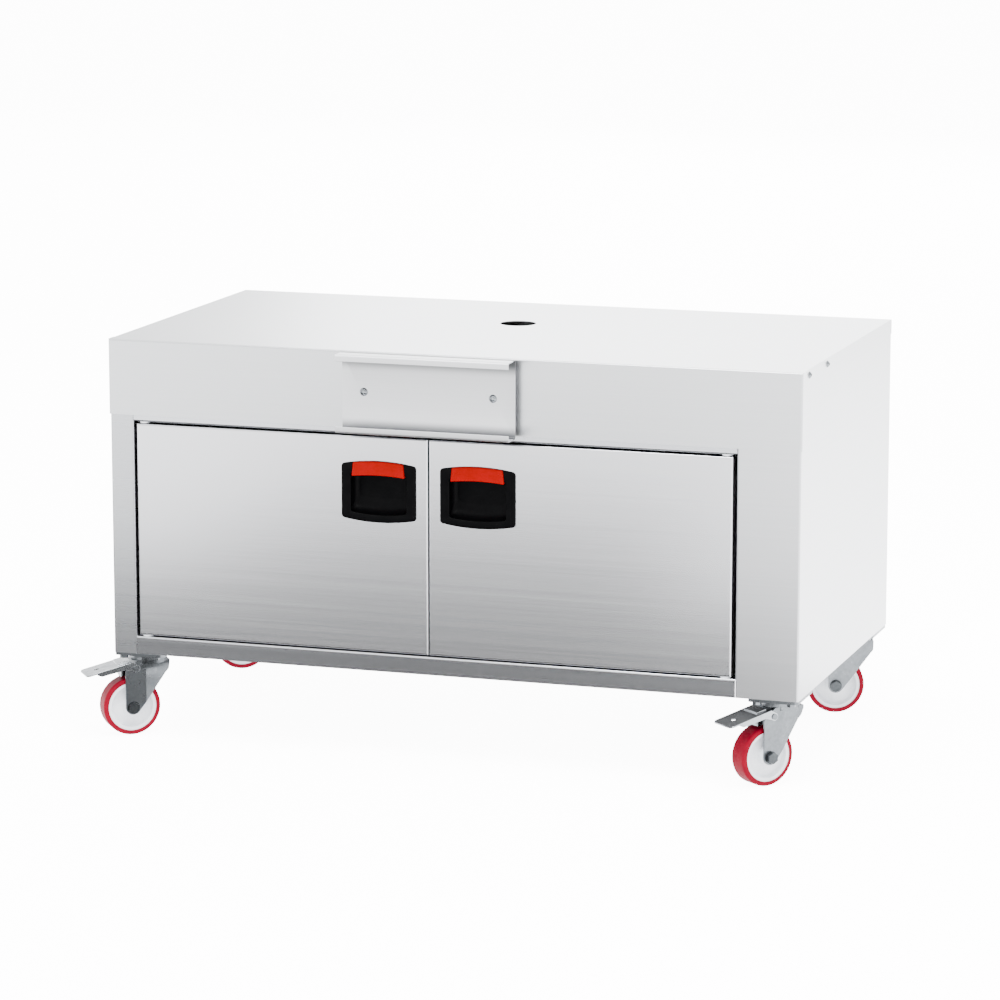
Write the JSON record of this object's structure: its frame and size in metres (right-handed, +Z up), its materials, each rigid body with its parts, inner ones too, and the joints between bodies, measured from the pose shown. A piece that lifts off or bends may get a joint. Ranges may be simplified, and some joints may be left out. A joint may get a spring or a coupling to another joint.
{
  "type": "grill cabinet stand",
  "caption": "Low stainless steel cabinet on braked swivel casters, with a flat top that carries a grill, a deep front apron with a channel bracket, and hinged doors with recessed handles.",
  "frame": {"origin": "the floor under the cabinet's centre, on the plane that the four wheels stand on", "axes": "+X to the right along the doors, +Y to the back, +Z up"},
  "size_m": [1.2748, 0.6855, 0.688],
  "materials": {
    "brushed_sheet": "brushed stainless sheet",
    "inner_sheet": "plain stainless sheet",
    "zinc": "bright zinc plated steel",
    "black_plastic": "black moulded plastic, satin",
    "red_plastic": "signal red moulded plastic",
    "white_nylon": "white nylon",
    "tyre_red": "crimson polyurethane tread"
  },
  "bodies": {
    "cabinet": {"worktop": "brushed_sheet", "worktop_angles": "inner_sheet", "worktop_stiffeners": "inner_sheet", "left_side_panel": "brushed_sheet", "right_side_panel": "brushed_sheet", "back_panel": "brushed_sheet", "top_rail": "brushed_sheet", "bottom_rail": "inner_sheet", "floor_panel": "inner_sheet", "floor_bearer": "inner_sheet", "left_caster_rail": "inner_sheet", "right_caster_rail": "inner_sheet", "front_bracket": "brushed_sheet", "bracket_spacers": "zinc", "bracket_screws": "zinc", "bracket_nuts": "zinc", "side_screws": "zinc", "side_rivet_nuts": "zinc", "pivot_bushes": "white_nylon", "magnetic_catches": "black_plastic", "plate_screws": "zinc", "plate_nuts": "zinc", "swivel_balls": "zinc", "front_left_caster_plate": "zinc", "front_right_caster_plate": "zinc", "back_left_caster_plate": "zinc", "back_right_caster_plate": "zinc"},
    "left_door": {"left_door_skin": "brushed_sheet", "left_door_liner": "inner_sheet", "left_door_handle": "black_plastic", "left_door_grip_cover": "red_plastic", "left_door_pivot_pins": "zinc", "left_door_strike_plate": "zinc"},
    "right_door": {"right_door_skin": "brushed_sheet", "right_door_liner": "inner_sheet", "right_door_handle": "black_plastic", "right_door_grip_cover": "red_plastic", "right_door_pivot_pins": "zinc", "right_door_strike_plate": "zinc"},
    "front_left_caster_yoke": {"front_left_caster_fork": "zinc", "front_left_caster_axle": "zinc"},
    "front_left_caster_wheel": {"front_left_caster_hub": "white_nylon", "front_left_caster_tyre": "tyre_red"},
    "front_left_caster_brake": {"front_left_caster_pedal": "zinc"},
    "front_right_caster_yoke": {"front_right_caster_fork": "zinc", "front_right_caster_axle": "zinc"},
    "front_right_caster_wheel": {"front_right_caster_hub": "white_nylon", "front_right_caster_tyre": "tyre_red"},
    "front_right_caster_brake": {"front_right_caster_pedal": "zinc"},
    "back_left_caster_yoke": {"back_left_caster_fork": "zinc", "back_left_caster_axle": "zinc"},
    "back_left_caster_wheel": {"back_left_caster_hub": "white_nylon", "back_left_caster_tyre": "tyre_red"},
    "back_left_caster_brake": {"back_left_caster_pedal": "zinc"},
    "back_right_caster_yoke": {"back_right_caster_fork": "zinc", "back_right_caster_axle": "zinc"},
    "back_right_caster_wheel": {"back_right_caster_hub": "white_nylon", "back_right_caster_tyre": "tyre_red"},
    "back_right_caster_brake": {"back_right_caster_pedal": "zinc"}
  },
  "joints": [
    {"name": "left_door_hinge", "type": "hinge", "parent": "cabinet", "child": "left_door", "pos_m": [-0.541, -0.305, 0.36225], "axis": [0, 0, -1], "range_deg": [0, 110]},
    {"name": "right_door_hinge", "type": "hinge", "parent": "cabinet", "child": "right_door", "pos_m": [0.475, -0.305, 0.36225], "axis": [0, 0, 1], "range_deg": [0, 110]},
    {"name": "front_left_caster_swivel", "type": "hinge", "parent": "cabinet", "child": "front_left_caster_yoke", "pos_m": [-0.5575, -0.265, 0.1317], "axis": [0, 0, 1], "continuous": true},
    {"name": "front_left_caster_wheel_spin", "type": "hinge", "parent": "front_left_caster_yoke", "child": "front_left_caster_wheel", "pos_m": [-0.58508, -0.28655, 0.05], "axis": [0.6157, -0.788, 0], "continuous": true},
    {"name": "front_left_caster_brake_tip", "type": "hinge", "parent": "front_left_caster_yoke", "child": "front_left_caster_brake", "pos_m": [-0.58114, -0.28347, 0.118], "axis": [0.6157, -0.788, 0], "range_deg": [0, 8]},
    {"name": "front_right_caster_swivel", "type": "hinge", "parent": "cabinet", "child": "front_right_caster_yoke", "pos_m": [0.5575, -0.265, 0.1317], "axis": [0, 0, 1], "continuous": true},
    {"name": "front_right_caster_wheel_spin", "type": "hinge", "parent": "front_right_caster_yoke", "child": "front_right_caster_wheel", "pos_m": [0.535, -0.29181, 0.05], "axis": [0.766, -0.6428, 0], "continuous": true},
    {"name": "front_right_caster_brake_tip", "type": "hinge", "parent": "front_right_caster_yoke", "child": "front_right_caster_brake", "pos_m": [0.53822, -0.28798, 0.118], "axis": [0.766, -0.6428, 0], "range_deg": [0, 8]},
    {"name": "back_left_caster_swivel", "type": "hinge", "parent": "cabinet", "child": "back_left_caster_yoke", "pos_m": [-0.5575, 0.26, 0.1317], "axis": [0, 0, 1], "continuous": true},
    {"name": "back_left_caster_wheel_spin", "type": "hinge", "parent": "back_left_caster_yoke", "child": "back_left_caster_wheel", "pos_m": [-0.58922, 0.24521, 0.05], "axis": [0.4226, -0.9063, 0], "continuous": true},
    {"name": "back_left_caster_brake_tip", "type": "hinge", "parent": "back_left_caster_yoke", "child": "back_left_caster_brake", "pos_m": [-0.58469, 0.24732, 0.118], "axis": [0.4226, -0.9063, 0], "range_deg": [0, 8]},
    {"name": "back_right_caster_swivel", "type": "hinge", "parent": "cabinet", "child": "back_right_caster_yoke", "pos_m": [0.5575, 0.26, 0.1317], "axis": [0, 0, 1], "continuous": true},
    {"name": "back_right_caster_wheel_spin", "type": "hinge", "parent": "back_right_caster_yoke", "child": "back_right_caster_wheel", "pos_m": [0.52421, 0.24918, 0.05], "axis": [0.309, -0.9511, 0], "continuous": true},
    {"name": "back_right_caster_brake_tip", "type": "hinge", "parent": "back_right_caster_yoke", "child": "back_right_caster_brake", "pos_m": [0.52897, 0.25073, 0.118], "axis": [0.309, -0.9511, 0], "range_deg": [0, 8]}
  ]
}
